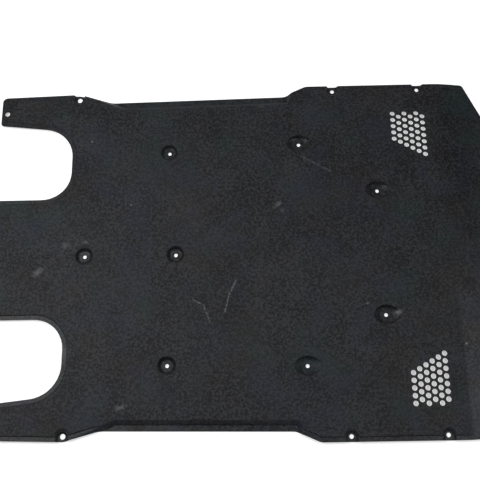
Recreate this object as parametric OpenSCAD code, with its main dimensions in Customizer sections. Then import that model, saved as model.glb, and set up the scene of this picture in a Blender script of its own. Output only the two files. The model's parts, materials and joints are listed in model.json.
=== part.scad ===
// Undercar splash shield: one moulded fibre panel, lying road side up.
// X runs along the panel from the arms to the nose, Y across it, and Z up.
// The origin is on the floor under the middle of the panel's outline.

/* [Sheet] */
// Thickness of the moulded sheet on the raised faces
sheet_t = 4; // [3:0.5:5]
// Thickness where the sheet is pressed hard, on rims, ledges and pads
pinch_t = 2.5; // [1.5:0.25:3]
// Height of the raised faces' underside above the pads
lift = 7; // [5:0.5:9]
// Width of the pinched rim along every free edge
rim_w = 9; // [6:0.5:12]
// Radius of the folds where the sheet bends
fold_r = 4; // [2:0.5:6]
// Angle of the ledge walls to the flat
wall_angle = 45; // [35:1:60]

/* [Outline] */
// Length from the arm ends to the nose
panel_len = 1100; // [1050:5:1200]
// Width across the wide wings
wing_w = 769; // [740:1:800]
// Width across the arms at their ends
arm_end_w = 742; // [720:1:760]
// Width across the arms where the waist begins
arm_root_w = 752; // [735:1:765]
// Distance from the arm ends to the end of the arms' straight edge
arm_len = 172; // [168:1:190]
// Width across the ledges where the waist begins
waist_near_w = 713; // [700:1:725]
// Width across the ledges where the wings begin
waist_far_w = 726; // [715:1:735]
// Distance from the arm ends to the near end of the waist
waist_near_x = 242; // [225:1:260]
// Distance from the arm ends to the far end of the waist
waist_far_x = 629; // [600:1:650]
// Length of the slant from the waist out to the wing
wing_slant = 48; // [30:1:70]

/* [Cut-outs] */
// Depth of each cut-out from the arm ends
cut_len = 162.5; // [140:0.5:180]
// Width of the middle prong
prong_w = 260; // [230:1:290]
// How far the prong lies off the middle line
prong_shift = -3; // [-8:0.5:8]
// Width of each arm at its end
arm_w = 67; // [55:1:80]
// How much wider the arm is at the bottom of the cut-out
arm_flare = 18; // [0:1:24]
// Corner radius of the cut-out beside the prong
cut_r_prong = 62; // [40:1:68]
// Corner radius of the cut-out beside the arm
cut_r_arm = 68; // [40:1:70]
// Corner radius of the arm and prong ends
end_r = 11; // [5:1:18]

/* [Nose] */
// Distance from the nose over which the wing's edge draws in
shoulder_len = 135; // [115:1:150]
// Length over which each side of the nose is cut back
nose_cut_len = 74; // [50:1:100]
// Width across the wings where the nose is cut back
shoulder_w = 763; // [740:1:769]
// Width of the nose at its end
nose_w = 444; // [380:2:560]
// Length of the slope that steps down to the seat
step_len = 54; // [48:1:60]
// Length of the flat seat at the nose
seat_len = 66; // [50:1:75]
// Radius of the bends at both ends of the slope
step_r = 300; // [60:10:340]

/* [Ledges] */
// Width of each ledge with its wall
ledge_w = 21; // [18:0.5:26]
// Distance from the arm ends to the near end of the long fold
fold_near_x = 274; // [265:1:300]
// Distance from the arm ends to the far end of the long fold
fold_far_x = 637; // [600:1:640]
// Angle of the near fold to the long side
near_fold_angle = 21.5; // [18:0.5:26]
// Angle of the far fold to the long side
far_fold_angle = 70; // [55:1:80]

/* [Dimples] */
// Radius of a dimple at its lip
dimple_r = 18; // [15:0.5:21]
// Radius of a dimple's floor
dimple_floor_r = 13; // [10:0.5:14]
// Diameter of the hole in each dimple
dimple_hole_d = 8; // [6:0.5:10]
// Length of a lens-shaped dimple
lens_len = 54; // [48:1:60]
// Width of a lens-shaped dimple
lens_w = 40; // [38:0.5:44]
// Run of a lens-shaped dimple's long walls
lens_run = 5.5; // [3:0.5:6]
// Place of the first middle dimple from the arm ends
mid_near_x = 198; // [190:1:215]
// Place of the second middle dimple from the arm ends
mid_far_x = 390; // [330:1:450]
// Place of the near pair from the arm ends
near_pair_x = 374.5; // [330:0.5:420]
// Distance between the near pair
near_pair_gap = 462; // [420:1:500]
// Place of the centre pair from the arm ends
centre_pair_x = 657; // [600:1:720]
// Distance between the centre pair
centre_pair_gap = 482; // [440:1:520]
// How far the centre pair lies off the middle line
centre_pair_shift = 5; // [-10:0.5:10]
// Distance from the nose to the far pair
far_pair_x = 278.5; // [265:0.5:320]
// Distance between the far pair
far_pair_gap = 270; // [220:1:320]

/* [Fixings] */
// Radius of an edge recess at its lip
recess_r = 13; // [11:0.5:15]
// Radius of an edge recess's floor
recess_floor_r = 9; // [7:0.5:10]
// Distance from the edge to the fixing holes
fixing_inset = 10.5; // [9:0.5:12]
// Diameter of the fixing holes in the wings
wing_hole_d = 9; // [7:0.5:10]
// Diameter of the fixing holes in the arms
arm_hole_d = 11; // [8:0.5:12]
// Place of the first wing fixing from the arm ends
wing_near_x = 737; // [710:1:760]
// Distance from the nose to the second wing fixing
wing_far_x = 174; // [165:1:200]
// Distance from the end of the arm's straight edge back to its fixing
root_fixing_back = 1; // [0:0.5:6]
// Distance from the arm end to its end hole
arm_end_inset = 12; // [10:0.5:14]
// Distance from the arm's outer edge to its end hole
arm_end_side = 39; // [25:1:45]
// Length of the flat seat pressed into each arm end
arm_seat_len = 23; // [19:1:40]

/* [Vents] */
// Diameter of the vent holes
vent_d = 11; // [8:0.5:12]
// Distance between neighbouring vent holes
vent_pitch = 15; // [14:0.25:16]
// Number of hole columns in a vent
vent_cols = 6; // [2:1:6]
// Holes in the shortest column
vent_rows = 5; // [2:1:6]
// Distance from the nose to the vent's first column
vent_x = 234; // [225:1:250]
// Distance between the outer rows of the two vents
vent_gap = 627; // [580:1:640]

/* [Hidden] */
$fn = 48;

// Height of the raised faces, and how far the pads lie below them
top_z = lift + sheet_t;
sink = top_z - pinch_t;
wall_run = sink / tan(wall_angle);
wall_t = (sheet_t + pinch_t) / 2;
// How far cuts run past the panel's faces: above it, and below the floor
air = 10;
under = 1;
// Length that every long cut runs to
reach = panel_len;
// The rim's edge is softened by a few low steps, each of this width
rim_steps = 3;
rim_step_w = 0.7;

// Ends of the panel, and stations measured from them
x_arm = -panel_len / 2;
x_nose = panel_len / 2;
function from_arm(d) = x_arm + d;
function from_nose(d) = x_nose - d;

// Half widths: the arm's outer edge, the ledge's outer edge and the long fold, at a station from the arms
waist_slope = (waist_far_w - waist_near_w) / 2 / (waist_far_x - waist_near_x);
function arm_y(d) = arm_end_w / 2 + (arm_root_w - arm_end_w) / 2 * d / arm_len;
function waist_y(d) = waist_near_w / 2 + waist_slope * (d - waist_near_x);
function fold_y(d) = waist_y(d) - ledge_w;
arm_inner_end = arm_end_w / 2 - arm_w;
arm_inner_root = arm_inner_end - arm_flare;

// Corners of one half of the outline, from the prong's end round to the nose: x, y and radius,
// with a minus sign on the radius of a corner that opens inwards
function half_outline(prong_y) = [
    [x_arm, prong_y, end_r],
    [from_arm(cut_len), prong_y, -cut_r_prong],
    [from_arm(cut_len), arm_inner_root, -cut_r_arm],
    [x_arm, arm_inner_end, end_r / 2],
    [x_arm, arm_end_w / 2, end_r],
    [from_arm(arm_len), arm_root_w / 2, 30],
    [from_arm(waist_near_x), waist_near_w / 2, -60],
    [from_arm(waist_far_x), waist_far_w / 2, -25],
    [from_arm(waist_far_x + wing_slant), wing_w / 2, 25],
    [from_nose(shoulder_len), wing_w / 2, 300],
    [from_nose(nose_cut_len), shoulder_w / 2, 9],
    [x_nose, nose_w / 2, 30]
];
function mirrored(pts) = [for (i = [len(pts) - 1 : -1 : 0]) [pts[i].x, -pts[i].y, pts[i].z]];
outline = concat(half_outline(prong_w / 2 + prong_shift), mirrored(half_outline(prong_w / 2 - prong_shift)));

// Plane geometry
function unit(v) = v / norm(v);
function normal(v) = [-v.y, v.x];
function turned(v, a) = [v.x * cos(a) - v.y * sin(a), v.x * sin(a) + v.y * cos(a)];
function meet(p, u, q, v) = p + u * (cross(q - p, v) / cross(u, v));
function xy(p) = [p.x, p.y];

// The points of a round corner of radius r at b, on the way from a to c
function corner(a, b, c, r, step) = let (
    u = unit(a - b),
    v = unit(c - b),
    half = acos(u * v) / 2,
    centre = b + unit(u + v) * (r / sin(half)),
    spoke = b + u * (r / tan(half)) - centre,
    turn = (180 - 2 * half) * sign(cross(-u, v)),
    steps = max(1, ceil(abs(turn) / step))
) r == 0 ? [b] : [for (k = [0 : steps]) centre + turned(spoke, turn * k / steps)];

// A corner list moved inwards by d; the list runs clockwise, so its left normals point out
function inset(pts, d) = let (n = len(pts)) [
    for (i = [0 : n - 1]) let (
        b = xy(pts[i]),
        u = unit(b - xy(pts[(i + n - 1) % n])),
        v = unit(xy(pts[(i + 1) % n]) - b),
        p = meet(b - normal(u) * d, u, b - normal(v) * d, v),
        r = pts[i].z
    ) [p.x, p.y, r > 0 ? max(r - d, 1) : r - d]
];

function rounded(pts) = let (n = len(pts)) [
    for (i = [0 : n - 1])
        each corner(xy(pts[(i + n - 1) % n]), xy(pts[i]), xy(pts[(i + 1) % n]), abs(pts[i].z), 9)
];

// The panel's plan, with every edge moved inwards by d
module plan(d = 0) {
    polygon(rounded(d == 0 ? outline : inset(outline, d)));
}

// The two bends of a wall from lip to foot, rounded as far as the wall allows
function bends(lip, foot, r_lip, r_foot) = let (
    ahead = [sign(foot.x - lip.x) * reach, 0],
    angle = atan(abs((lip.y - foot.y) / (foot.x - lip.x))),
    most = 0.45 * norm(foot - lip) / tan(angle / 2)
) concat(
    corner(lip - ahead, lip, foot, min(r_lip, most), 15),
    corner(lip, foot, foot + ahead, min(r_foot, most), 15)
);

// Section of the open space over a sunk pad: down the wall from a lip on the raised face, then on to far
function over_section(lip, foot, far, r) = let (
    line = bends(lip, foot, r, r)
) concat([[line[0].x, top_z + air]], line, [[far, foot.y], [far, top_z + air]]);

// Section of the space under the raised faces that the same wall and its pad fill
function under_section(lip, foot, far, r) = let (
    slope = (lip.y - foot.y) / (foot.x - lip.x),
    drop = wall_t * sqrt(1 + slope * slope),
    line = bends(
        [lip.x + (lip.y - drop - lift) / slope, lift], [lip.x + (lip.y - drop) / slope, 0],
        max(r - wall_t, 0), r == 0 ? 0 : r + wall_t
    )
) concat(
    [[line[0].x, lift + under]], line,
    [[line[len(line) - 1].x, -2 * under], [far, -2 * under], [far, lift + under]]
);

// Open space over a straight wall through p, whose pad lies in the direction dir
module over_wall(p, dir, run, r) {
    translate([p.x, p.y, 0]) rotate([0, 0, dir]) rotate([90, 0, 0])
        linear_extrude(2 * reach, center = true)
            polygon(over_section([0, top_z], [run, pinch_t], reach, r));
}
module under_wall(p, dir, run, r) {
    translate([p.x, p.y, 0]) rotate([0, 0, dir]) rotate([90, 0, 0])
        linear_extrude(2 * reach, center = true)
            polygon(under_section([0, top_z], [run, pinch_t], reach, r));
}

// Places of the ledge's three walls: a point on each fold and the direction of the pad
near_fold = [from_arm(fold_near_x), fold_y(fold_near_x)];
far_fold = [from_arm(fold_far_x), fold_y(fold_far_x)];
near_dir = 90 - near_fold_angle;
long_dir = 90 + atan(waist_slope);
far_dir = 90 + far_fold_angle;

module ledge_over() {
    intersection() {
        over_wall(near_fold, near_dir, wall_run, fold_r);
        over_wall(near_fold, long_dir, wall_run, fold_r);
        over_wall(far_fold, far_dir, wall_run, fold_r);
    }
}
module ledge_under() {
    intersection() {
        under_wall(near_fold, near_dir, wall_run, fold_r);
        under_wall(near_fold, long_dir, wall_run, fold_r);
        under_wall(far_fold, far_dir, wall_run, fold_r);
    }
}

// The slope down to the seat at the nose
step_fold = [from_nose(seat_len + step_len), 0];
module nose_over() {
    over_wall(step_fold, 0, step_len, step_r);
}
module nose_under() {
    under_wall(step_fold, 0, step_len, step_r);
}

// A round dimple, from its lip to its floor
module round_over(lip_r, floor_r, r = fold_r) {
    rotate_extrude() polygon(over_section([lip_r, top_z], [floor_r, pinch_t], 0, r));
}
module round_under(lip_r, floor_r, r = fold_r) {
    rotate_extrude() polygon(under_section([lip_r, top_z], [floor_r, pinch_t], 0, r));
}

// A lens-shaped dimple: the overlap of two wide cones, its tips cut short by a flatter cone
lens_tip = 1.5;
lens_r = (pow(lens_len / 2 + lens_tip, 2) + pow(lens_w / 2, 2)) / lens_w;
lens_off = lens_r - lens_w / 2;
module lens_over() {
    intersection() {
        round_over(lens_len / 2, dimple_floor_r, 0);
        translate([0, lens_off, 0]) round_over(lens_r, lens_r - lens_run, 0);
        translate([0, -lens_off, 0]) round_over(lens_r, lens_r - lens_run, 0);
    }
}
module lens_under() {
    intersection() {
        round_under(lens_len / 2, dimple_floor_r, 0);
        translate([0, lens_off, 0]) round_under(lens_r, lens_r - lens_run, 0);
        translate([0, -lens_off, 0]) round_under(lens_r, lens_r - lens_run, 0);
    }
}

// A half-round recess that opens to the panel's edge along +Y
module recess_over() {
    section = over_section([recess_r, top_z], [recess_floor_r, pinch_t], 0, fold_r);
    rotate_extrude() polygon(section);
    for (m = [0, 1]) mirror([m, 0, 0]) rotate([90, 0, 0]) translate([0, 0, -recess_r * 2])
        linear_extrude(recess_r * 2) polygon(section);
}
module recess_under() {
    section = under_section([recess_r, top_z], [recess_floor_r, pinch_t], 0, fold_r);
    rotate_extrude() polygon(section);
    for (m = [0, 1]) mirror([m, 0, 0]) rotate([90, 0, 0]) translate([0, 0, -recess_r * 2])
        linear_extrude(recess_r * 2) polygon(section);
}

// Places of the dimples and of the edge fixings
round_dimples = [
    [from_arm(mid_near_x), 0],
    [from_arm(mid_far_x), 0],
    [from_arm(near_pair_x), near_pair_gap / 2],
    [from_arm(near_pair_x), -near_pair_gap / 2]
];
lens_dimples = [
    [from_arm(centre_pair_x), centre_pair_shift + centre_pair_gap / 2],
    [from_arm(centre_pair_x), centre_pair_shift - centre_pair_gap / 2],
    [from_nose(far_pair_x), far_pair_gap / 2],
    [from_nose(far_pair_x), -far_pair_gap / 2]
];
root_fixing = [from_arm(arm_len - root_fixing_back), arm_y(arm_len - root_fixing_back) - fixing_inset];
wing_fixings = [for (x = [from_arm(wing_near_x), from_nose(wing_far_x)]) [x, wing_w / 2 - fixing_inset]];
end_fixing = [from_arm(arm_end_inset), arm_end_w / 2 - arm_end_side];

module both_sides() {
    children();
    mirror([0, 1, 0]) children();
}
module at(places) {
    for (p = places) translate([p.x, p.y, 0]) children();
}

// The rim: the raised sheet is pressed thin along the edges, and over the seat at each arm's end
module rim_over() {
    low = lift + pinch_t;
    rise = (sheet_t - pinch_t) / rim_steps;
    for (i = [0 : rim_steps - 1]) translate([0, 0, low + i * rise]) difference() {
        translate([-reach, -reach, 0]) cube([2 * reach, 2 * reach, air]);
        translate([0, 0, -under]) linear_extrude(air + 2 * under) plan(rim_w + i * rim_step_w);
    }
    both_sides() translate([x_arm - air, arm_inner_root, low]) cube([arm_seat_len + air, arm_w + arm_flare, air]);
}

module over_spaces() {
    rim_over();
    nose_over();
    both_sides() ledge_over();
    at(round_dimples) round_over(dimple_r, dimple_floor_r);
    at(lens_dimples) lens_over();
    both_sides() at(concat(wing_fixings, [root_fixing])) recess_over();
}
module under_spaces() {
    nose_under();
    both_sides() ledge_under();
    at(round_dimples) round_under(dimple_r, dimple_floor_r);
    at(lens_dimples) lens_under();
    both_sides() at(concat(wing_fixings, [root_fixing])) recess_under();
}

module hole(d) {
    translate([0, 0, -air]) cylinder(d = d, h = top_z + 2 * air);
}
module fixing_holes() {
    at(concat(round_dimples, lens_dimples)) hole(dimple_hole_d);
    both_sides() {
        at(wing_fixings) hole(wing_hole_d);
        at([root_fixing, end_fixing]) hole(arm_hole_d);
    }
}

// A vent: staggered columns that grow longer towards the nose, in line along their outer ends
module vent() {
    for (c = [0 : vent_cols - 1], r = [0 : vent_rows + floor(c / 2) - 1])
        translate([
            from_nose(vent_x) + c * vent_pitch * sqrt(3) / 2,
            vent_gap / 2 - vent_pitch * (r + (c % 2) / 2),
            0
        ]) hole(vent_d);
}

module shield() {
    color("#2a2a2e") difference() {
        linear_extrude(top_z) plan();
        over_spaces();
        difference() {
            translate([-reach, -reach, -under]) cube([2 * reach, 2 * reach, lift + under]);
            under_spaces();
        }
        fixing_holes();
        both_sides() vent();
    }
}

shield();
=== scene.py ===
"""Undercar splash shield: one panel of pressed black felt, lying road side up on a white table.

The panel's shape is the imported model, which stays as it is. This script gives it its needled felt
and sets the table, the lamps and the camera. Lengths are in metres unless a name says otherwise.
"""

from __future__ import annotations

import json
import logging
import math
from collections.abc import Mapping
from dataclasses import dataclass, field
from enum import Enum
from typing import Any

import bpy
from mathutils import Matrix, Vector

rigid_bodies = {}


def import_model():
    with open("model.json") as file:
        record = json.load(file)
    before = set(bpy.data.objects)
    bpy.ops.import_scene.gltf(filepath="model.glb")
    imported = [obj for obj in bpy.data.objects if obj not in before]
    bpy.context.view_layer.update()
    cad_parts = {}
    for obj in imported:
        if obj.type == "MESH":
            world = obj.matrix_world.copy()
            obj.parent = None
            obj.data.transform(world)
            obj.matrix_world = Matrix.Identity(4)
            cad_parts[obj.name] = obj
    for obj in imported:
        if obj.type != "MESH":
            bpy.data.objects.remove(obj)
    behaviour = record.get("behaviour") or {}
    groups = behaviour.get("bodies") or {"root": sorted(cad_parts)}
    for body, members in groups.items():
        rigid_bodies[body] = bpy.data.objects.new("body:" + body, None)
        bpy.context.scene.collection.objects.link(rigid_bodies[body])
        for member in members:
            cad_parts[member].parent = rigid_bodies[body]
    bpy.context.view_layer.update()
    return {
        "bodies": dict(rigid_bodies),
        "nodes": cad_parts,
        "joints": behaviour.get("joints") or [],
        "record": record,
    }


LOG = logging.getLogger("splash_shield")

Colour = tuple[float, float, float]
Point = tuple[float, float]
Socket = bpy.types.NodeSocket
Value = Socket | float


class Blend(Enum):
    """How two values are joined in a pattern."""

    SUM = "ADD"
    LESS = "SUBTRACT"
    TIMES = "MULTIPLY"
    LARGER = "MAXIMUM"


class Graph:
    """Adds nodes to a tree and joins them, so that a recipe reads as a list of steps."""

    def __init__(self, tree: bpy.types.NodeTree) -> None:
        """Starts on a tree.

        Args:
            tree: The shader or geometry tree that the nodes go into.
        """
        self.tree = tree

    def add(
        self, kind: str, inputs: Mapping[str | int, Any] | None = None, **settings: Any
    ) -> bpy.types.Node:
        """Adds one node.

        Args:
            kind: Blender's name for the node.
            inputs: What goes into each input: a socket to join, or a plain value.
            **settings: The node's own settings.

        Returns:
            The new node.
        """
        node = self.tree.nodes.new(kind)
        for name, value in settings.items():
            setattr(node, name, value)
        for key, value in (inputs or {}).items():
            if isinstance(value, bpy.types.NodeSocket):
                self.tree.links.new(value, node.inputs[key])
            else:
                node.inputs[key].default_value = value
        return node

    def join(self, how: Blend, a: Value, b: Value) -> Socket:
        """Joins two numbers.

        Args:
            how: The sum to work out.
            a: The first number.
            b: The second number.

        Returns:
            The result's socket.
        """
        return self.add("ShaderNodeMath", {0: a, 1: b}, operation=how.value).outputs[0]

    def largest(self, values: list[Socket]) -> Socket:
        """The largest of several numbers.

        Args:
            values: The numbers, one or more.

        Returns:
            The result's socket.
        """
        found = values[0]
        for value in values[1:]:
            found = self.join(Blend.LARGER, found, value)
        return found

    def span(self, value: Value, low: float, high: float, start: float = 0.0, end: float = 1.0) -> Socket:
        """Takes a number smoothly from one range to another, and holds it at the ends.

        Args:
            value: The number.
            low: Where its range starts.
            high: Where its range ends.
            start: What low becomes.
            end: What high becomes.

        Returns:
            The result's socket.
        """
        node = self.add(
            "ShaderNodeMapRange",
            {"Value": value, "From Min": low, "From Max": high, "To Min": start, "To Max": end},
            interpolation_type="SMOOTHSTEP",
        )
        return node.outputs[0]

    def colours(self, share: Value, a: Socket | Colour, b: Socket | Colour) -> Socket:
        """Mixes two colours.

        Args:
            share: How much of the second colour there is.
            a: The first colour.
            b: The second colour.

        Returns:
            The mixed colour's socket.
        """
        node = self.add("ShaderNodeMix", data_type="RGBA")
        for index, value in ((0, share), (6, a), (7, b)):
            if isinstance(value, bpy.types.NodeSocket):
                self.tree.links.new(value, node.inputs[index])
            else:
                node.inputs[index].default_value = (*value, 1.0) if isinstance(value, tuple) else value
        return node.outputs[2]

    def noise(self, place: Socket, size: float, detail: float = 2.0, rough: float = 0.5) -> Socket:
        """A cloudy pattern.

        Args:
            place: The point that the pattern is read at.
            size: The width of its larger clouds.
            detail: How many finer layers it has.
            rough: How strong the finer layers are.

        Returns:
            The pattern's socket, about a half on average.
        """
        inputs = {"Vector": place, "Scale": 1.0 / size, "Detail": detail, "Roughness": rough}
        return self.add("ShaderNodeTexNoise", inputs).outputs[0]


@dataclass(frozen=True)
class Smudge:
    """A pale or tinted patch rubbed into the felt."""

    centre: Point
    length: float
    width: float
    turn_deg: float = 0.0
    strength: float = 1.0

    def mask(self, graph: Graph, place: Socket, ragged: Socket) -> Socket:
        """Where the patch lies.

        Args:
            graph: The felt's graph.
            place: The point on the panel.
            ragged: A cloudy pattern that breaks up the patch's edge.

        Returns:
            The mask's socket.
        """
        local = graph.add(
            "ShaderNodeMapping",
            {
                "Vector": place,
                "Location": (*self.centre, 0.0),
                "Rotation": (0.0, 0.0, math.radians(self.turn_deg)),
                "Scale": (self.length / 2, self.width / 2, 1.0),
            },
            vector_type="TEXTURE",
        )
        flat = graph.add("ShaderNodeVectorMath", {0: local.outputs[0], 1: (1, 1, 0)}, operation="MULTIPLY")
        far = graph.add("ShaderNodeVectorMath", {0: flat.outputs[0]}, operation="LENGTH")
        uneven = graph.join(Blend.SUM, far.outputs["Value"], graph.span(ragged, 0.3, 0.7, -0.5, 0.5))
        return graph.span(uneven, 0.1, 1.1, self.strength, 0.0)


@dataclass(frozen=True)
class Scratch:
    """A thin pale line scraped from one point to another."""

    start: Point
    end: Point
    width: float = 0.0022
    strength: float = 0.5

    def mask(self, graph: Graph, place: Socket, ragged: Socket) -> Socket:
        """Where the line lies.

        Args:
            graph: The felt's graph.
            place: The point on the panel.
            ragged: A cloudy pattern that makes the line uneven.

        Returns:
            The mask's socket.
        """
        run = (self.end[0] - self.start[0], self.end[1] - self.start[1], 0.0)
        square = run[0] ** 2 + run[1] ** 2
        start = (*self.start, 0.0)
        flat = graph.add("ShaderNodeVectorMath", {0: place, 1: (1, 1, 0)}, operation="MULTIPLY")
        away = graph.add("ShaderNodeVectorMath", {0: flat.outputs[0], 1: start}, operation="SUBTRACT")
        along = graph.add("ShaderNodeVectorMath", {0: away.outputs[0], 1: run}, operation="DOT_PRODUCT")
        part = {0: along.outputs["Value"], 1: square}
        share = graph.add("ShaderNodeMath", part, operation="DIVIDE", use_clamp=True)
        foot = graph.add("ShaderNodeVectorMath", {0: run, "Scale": share.outputs[0]}, operation="SCALE")
        ends = {0: away.outputs[0], 1: foot.outputs[0]}
        off = graph.add("ShaderNodeVectorMath", ends, operation="DISTANCE")
        line = graph.span(off.outputs["Value"], self.width * 0.2, self.width, self.strength, 0.0)
        return graph.join(Blend.TIMES, line, graph.span(ragged, 0.35, 0.6, 0.3, 1.0))


@dataclass(frozen=True)
class NeedledFelt:
    """Black needled fibre: short fibres lying every way, pressed smooth along the rims and pads."""

    slot: str = "fibre"
    dark: Colour = (0.0030, 0.0030, 0.0036)
    pale: Colour = (0.024, 0.025, 0.028)
    # Pale colour of the rubbed smudges and scratches, and also of the painted sheen haze.
    dust_and_sheen: Colour = (0.190, 0.194, 0.198)
    brown: Colour = (0.015, 0.014, 0.014)
    green: Colour = (0.011, 0.023, 0.022)
    blue: Colour = (0.014, 0.017, 0.032)
    roughness: tuple[float, float] = (0.38, 0.54)
    specular: tuple[float, float] = (0.13, 0.26)
    sheen: float = 0.02
    sheen_roughness: float = 0.45
    fibre_length: float = 0.0045
    fibre_width: float = 0.00028
    fibre_turns_deg: tuple[float, ...] = (8.0, 67.0, -52.0)
    bump_height: float = 0.00030
    bump_strength: float = 0.6
    edge_radius: float = 0.0012
    edge_samples: int = 4
    tuft_size: float = 0.0050
    tuft_share: float = 0.85
    cloud_size: float = 0.060
    cloud_share: float = 0.15
    ragged_size: float = 0.006
    fibre_bend: float = 0.004
    bend_scale: float = 90.0
    pressed_gloss: float = 0.08
    # Painted sheen: a faint pale haze in broad clouds over the whole felt.
    sheen_haze_size: float = 0.16
    sheen_haze_share: float = 0.02
    tint_share: float = 0.50
    speck: Colour = (0.16, 0.16, 0.155)
    pressed_below: tuple[float, float] = (0.0093, 0.0104)
    smudges: tuple[Smudge, ...] = (
        Smudge((-0.446, -0.033), 0.034, 0.016, 35.0, 0.55),
        Smudge((-0.393, 0.024), 0.020, 0.016, 0.0, 0.35),
        Smudge((-0.350, 0.030), 0.018, 0.013, 0.0, 0.35),
        Smudge((0.058, 0.107), 0.026, 0.012, 35.0, 0.50),
        Smudge((0.066, 0.092), 0.014, 0.010, 60.0, 0.30),
        Smudge((-0.266, -0.312), 0.030, 0.014, 15.0, 0.45),
        Smudge((0.027, 0.338), 0.014, 0.010, 0.0, 0.30),
        Smudge((-0.385, -0.205), 0.045, 0.030, 70.0, 0.22),
        Smudge((0.296, -0.131), 0.016, 0.014, 0.0, 0.7),
    )
    specks: tuple[Smudge, ...] = (
        Smudge((-0.346, 0.260), 0.005, 0.005, 0.0, 1.0),
        Smudge((-0.256, 0.111), 0.007, 0.005, 0.0, 0.7),
        Smudge((0.233, -0.111), 0.006, 0.005, 0.0, 0.7),
        Smudge((0.427, -0.197), 0.007, 0.006, 0.0, 0.7),
    )
    scratches: tuple[Scratch, ...] = (
        Scratch((-0.123, -0.098), (-0.102, -0.109)),
        Scratch((-0.102, -0.109), (-0.088, -0.145)),
        Scratch((-0.034, -0.058), (-0.049, -0.089), 0.0030, 0.4),
        Scratch((-0.049, -0.089), (-0.058, -0.125)),
        Scratch((0.112, 0.215), (0.172, 0.180), 0.0030, 0.25),
    )

    def build(self) -> bpy.types.Material:
        """Makes the felt.

        Returns:
            The material.
        """
        material = bpy.data.materials.new(self.slot)
        material.use_nodes = True
        tree = material.node_tree
        tree.nodes.clear()
        graph = Graph(tree)
        coordinate = graph.add("ShaderNodeTexCoord")
        place = coordinate.outputs["Object"]
        ragged = graph.noise(place, self.ragged_size, 3.0, 0.6)
        fibres = self.fibres(graph, place)
        pressed = self.pressed(graph, place)
        mottle = self.mottle(graph, place)
        colour = self.colour(graph, place, fibres, mottle, ragged)
        rough = graph.span(mottle, 0.3, 0.7, *self.roughness)
        rough = graph.join(Blend.LESS, rough, graph.join(Blend.TIMES, pressed, self.pressed_gloss))
        ridges = graph.join(Blend.TIMES, fibres, 0.6)
        relief = graph.join(Blend.SUM, ridges, graph.join(Blend.TIMES, mottle, 0.8))
        relief = graph.join(Blend.TIMES, relief, graph.span(pressed, 0.0, 1.0, 1.0, 0.45))
        rounded = graph.add("ShaderNodeBevel", {"Radius": self.edge_radius}, samples=self.edge_samples)
        bump = graph.add(
            "ShaderNodeBump",
            {
                "Strength": self.bump_strength,
                "Distance": self.bump_height,
                "Height": relief,
                "Normal": rounded.outputs[0],
            },
        )
        shader = graph.add(
            "ShaderNodeBsdfPrincipled",
            {
                "Base Color": colour,
                "Roughness": rough,
                "Specular IOR Level": graph.span(mottle, 0.38, 0.62, *self.specular),
                "Sheen Weight": self.sheen,
                "Sheen Roughness": self.sheen_roughness,
                "Normal": bump.outputs[0],
            },
        )
        graph.add("ShaderNodeOutputMaterial", {"Surface": shader.outputs[0]})
        return material

    def fibres(self, graph: Graph, place: Socket) -> Socket:
        """The short fibres, as layers of streaks that lie several ways and bend a little.

        Args:
            graph: The felt's graph.
            place: The point on the panel.

        Returns:
            The fibres' socket: 1 on a fibre that lies on top, 0 between them.
        """
        drift = graph.add("ShaderNodeTexNoise", {"Vector": place, "Scale": self.bend_scale, "Detail": 1.0})
        swing = {0: drift.outputs[1], "Scale": self.fibre_bend}
        bend = graph.add("ShaderNodeVectorMath", swing, operation="SCALE")
        bent = graph.add("ShaderNodeVectorMath", {0: place, 1: bend.outputs[0]}, operation="ADD").outputs[0]
        layers = []
        for turn in self.fibre_turns_deg:
            laid = graph.add(
                "ShaderNodeMapping",
                {
                    "Vector": bent,
                    "Rotation": (0.0, 0.0, math.radians(turn)),
                    "Scale": (self.fibre_length, self.fibre_width, self.fibre_width),
                },
                vector_type="TEXTURE",
            )
            streak = graph.add("ShaderNodeTexNoise", {"Vector": laid.outputs[0], "Scale": 1.0, "Detail": 1.0})
            layers.append(graph.span(streak.outputs[0], 0.48, 0.72))
        return graph.largest(layers)

    def pressed(self, graph: Graph, place: Socket) -> Socket:
        """Where the sheet lies lower than the raised faces, so was pressed hard.

        Args:
            graph: The felt's graph.
            place: The point on the panel.

        Returns:
            The mask's socket.
        """
        height = graph.add("ShaderNodeSeparateXYZ", {0: place}).outputs[2]
        return graph.span(height, *self.pressed_below, 1.0, 0.0)

    def mottle(self, graph: Graph, place: Socket) -> Socket:
        """The felt's uneven tone: tufts a few millimetres wide over broader clouds.

        Args:
            graph: The felt's graph.
            place: The point on the panel.

        Returns:
            The pattern's socket, about a half on average.
        """
        tufts = graph.noise(place, self.tuft_size, 3.0, 0.65)
        clouds = graph.noise(place, self.cloud_size, 3.0, 0.5)
        fine = graph.join(Blend.TIMES, tufts, self.tuft_share)
        broad = graph.join(Blend.TIMES, clouds, self.cloud_share)
        return graph.join(Blend.SUM, fine, broad)

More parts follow.
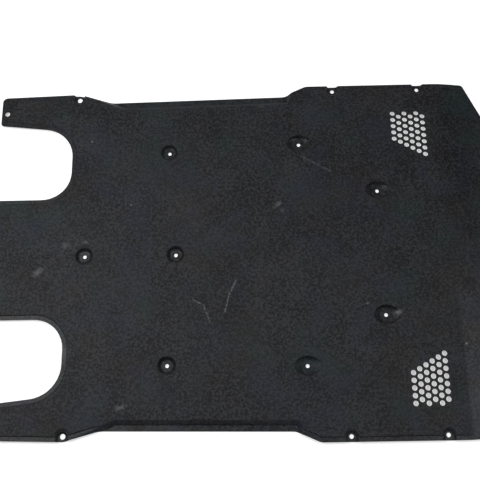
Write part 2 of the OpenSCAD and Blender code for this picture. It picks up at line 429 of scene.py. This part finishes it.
    def colour(self, graph: Graph, place: Socket, fibres: Socket, mottle: Socket, ragged: Socket) -> Socket:
        """The felt's colour with its tints, a faint painted sheen haze, smudges, specks and scratches.

        Args:
            graph: The felt's graph.
            place: The point on the panel.
            fibres: The fibres' pattern.
            mottle: The uneven tone.
            ragged: A cloudy pattern that breaks up the marks.

        Returns:
            The colour's socket.
        """
        lit = graph.join(Blend.TIMES, fibres, 0.35)
        tone = graph.join(Blend.SUM, lit, graph.span(mottle, 0.40, 0.66, 0.0, 0.75))
        colour = graph.colours(tone, self.dark, self.pale)
        for tint, size, offset in ((self.brown, 0.11, 3.0), (self.green, 0.14, 7.0), (self.blue, 0.10, 11.0)):
            shift = {0: place, 1: (offset,) * 3}
            moved = graph.add("ShaderNodeVectorMath", shift, operation="ADD").outputs[0]
            share = graph.span(graph.noise(moved, size, 3.0, 0.6), 0.48, 0.68, 0.0, self.tint_share)
            colour = graph.colours(share, colour, tint)
        # Painted sheen: faint broad clouds of the pale colour spread over the felt.
        sheen_haze = graph.span(graph.noise(place, self.sheen_haze_size, 4.0, 0.6), 0.45, 0.75, 0.0, self.sheen_haze_share)
        marks = [mark.mask(graph, place, ragged) for mark in (*self.smudges, *self.scratches)]
        specks = [speck.mask(graph, place, ragged) for speck in self.specks]
        rubbed = graph.join(Blend.TIMES, graph.largest(marks), graph.span(ragged, 0.35, 0.6, 0.35, 1.0))
        colour = graph.colours(graph.join(Blend.SUM, sheen_haze, rubbed), colour, self.dust_and_sheen)
        return graph.colours(graph.largest(specks), colour, self.speck)


@dataclass
class Panel:
    """The pressed panel itself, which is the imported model's own mesh."""

    node: str = "shield"
    felt: NeedledFelt = field(default_factory=NeedledFelt)

    def dress(self, frame: dict[str, Any]) -> bpy.types.Object:
        """Gives the panel its felt.


        Returns:
            The panel.
        """
        panel = frame["nodes"][self.node]
        felt = self.felt.build()
        for index in range(max(1, len(panel.data.materials))):
            if index < len(panel.data.materials):
                panel.data.materials[index] = felt
            else:
                panel.data.materials.append(felt)
        LOG.info("%s: %d faces in felt", panel.name, len(panel.data.polygons))
        return panel


@dataclass(frozen=True)
class WhiteTable:
    """A plain white table that the panel lies on, and the white room round it."""

    size: float = 14.0
    top: float = -0.0004
    white: Colour = (0.80, 0.80, 0.80)
    glow: float = 0.42
    room: float = 0.10

    def build(self) -> bpy.types.Object:
        """Makes the table top.

        Returns:
            The table top.
        """
        half = self.size / 2
        corners = [(x * half, y * half, self.top) for x, y in ((-1, -1), (1, -1), (1, 1), (-1, 1))]
        mesh = bpy.data.meshes.new("table_top")
        mesh.from_pydata(corners, [], [(0, 1, 2, 3)])
        table = bpy.data.objects.new("table_top", mesh)
        bpy.context.scene.collection.objects.link(table)
        mesh.materials.append(self.paint())
        return table

    def paint(self) -> bpy.types.Material:
        """A dull white with a faint glow of its own where it is seen.

        Returns:
            The material.
        """
        material = bpy.data.materials.new("table_white")
        material.use_nodes = True
        tree = material.node_tree
        tree.nodes.clear()
        graph = Graph(tree)
        path = graph.add("ShaderNodeLightPath")
        rays = ("Is Camera Ray", "Is Glossy Ray", "Is Transmission Ray")
        seen = graph.largest([path.outputs[name] for name in rays])
        dull = graph.add("ShaderNodeBsdfDiffuse", {"Color": (*self.white, 1.0)})
        glow = graph.add("ShaderNodeEmission", {"Strength": graph.join(Blend.TIMES, seen, self.glow)})
        both = graph.add("ShaderNodeAddShader", {0: dull.outputs[0], 1: glow.outputs[0]})
        graph.add("ShaderNodeOutputMaterial", {"Surface": both.outputs[0]})
        return material

    def light_room(self) -> None:
        """Makes the room white where it is seen, with a weak even light."""
        world = bpy.data.worlds.new("white_room")
        bpy.context.scene.world = world
        world.use_nodes = True
        tree = world.node_tree
        tree.nodes.clear()
        graph = Graph(tree)
        path = graph.add("ShaderNodeLightPath")
        seen = graph.span(path.outputs["Is Camera Ray"], 0.0, 1.0, self.room, 1.0)
        sky = graph.add("ShaderNodeBackground", {"Color": (1.0, 1.0, 1.0, 1.0), "Strength": seen})
        graph.add("ShaderNodeOutputWorld", {"Surface": sky.outputs[0]})


@dataclass(frozen=True)
class SoftLamp:
    """A rectangular soft light that faces the panel."""

    name: str
    place: tuple[float, float, float]
    aim: tuple[float, float, float]
    width: float
    depth: float
    watts: float

    def build(self) -> bpy.types.Object:
        """Makes the lamp.

        Returns:
            The lamp.
        """
        light = bpy.data.lights.new(self.name, "AREA")
        light.shape = "RECTANGLE"
        light.size, light.size_y, light.energy = self.width, self.depth, self.watts
        lamp = bpy.data.objects.new(self.name, light)
        bpy.context.scene.collection.objects.link(lamp)
        away = Vector(self.aim) - Vector(self.place)
        lamp.rotation_mode = "QUATERNION"
        lamp.rotation_quaternion = away.to_track_quat("-Z", "Y")
        lamp.location = self.place
        return lamp


@dataclass(frozen=True)
class PhotoCamera:
    """The camera that the photograph was taken with: where it stood, how it was turned and its lens."""

    place: tuple[float, float, float] = (-0.0074, -0.4246, 1.5018)
    pitch_deg: float = 16.90
    yaw_deg: float = 0.63
    roll_deg: float = -1.11
    focal_px: float = 742.0
    frame_px: float = 480.0
    sensor_mm: float = 36.0

    def build(self) -> bpy.types.Object:
        """Makes the camera and gives it to the scene.

        Returns:
            The camera.
        """
        data = bpy.data.cameras.new("photo_camera")
        data.sensor_width = self.sensor_mm
        data.lens = self.focal_px / self.frame_px * self.sensor_mm
        data.clip_start, data.clip_end = 0.05, 50.0
        camera = bpy.data.objects.new("photo_camera", data)
        bpy.context.scene.collection.objects.link(camera)
        turns = ((self.pitch_deg, "X"), (self.yaw_deg, "Y"), (self.roll_deg, "Z"))
        turned = Matrix.Identity(4)
        for angle, axis in turns:
            turned = turned @ Matrix.Rotation(math.radians(angle), 4, axis)
        camera.matrix_world = Matrix.Translation(self.place) @ turned
        bpy.context.scene.camera = camera
        return camera


@dataclass
class Studio:
    """The table, the lamps and the camera."""

    table: WhiteTable = field(default_factory=WhiteTable)
    camera: PhotoCamera = field(default_factory=PhotoCamera)
    lamps: tuple[SoftLamp, ...] = (
        SoftLamp("left_lamp", (-0.95, 0.05, 1.50), (-0.30, -0.15, 0.0), 0.8, 0.8, 20.0),
        SoftLamp("right_lamp", (1.10, -0.30, 1.50), (0.30, -0.15, 0.0), 0.8, 0.8, 12.0),
        SoftLamp("back_lamp", (0.0, 1.90, 1.30), (0.0, 0.0, 0.0), 2.4, 0.6, 12.0),
    )

    def build(self) -> None:
        """Sets up the stage, the lights and the view."""
        self.table.build()
        self.table.light_room()
        for lamp in self.lamps:
            lamp.build()
        self.camera.build()
        bpy.context.scene.view_settings.view_transform = "Standard"
        LOG.info("studio: %d lamps", len(self.lamps))


def main() -> None:
    """Loads the frame, dresses the panel and sets the studio."""
    logging.basicConfig(level=logging.INFO, format="%(name)s: %(message)s")
    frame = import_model()
    Panel().dress(frame)
    Studio().build()


if __name__ == "__main__":
    main()
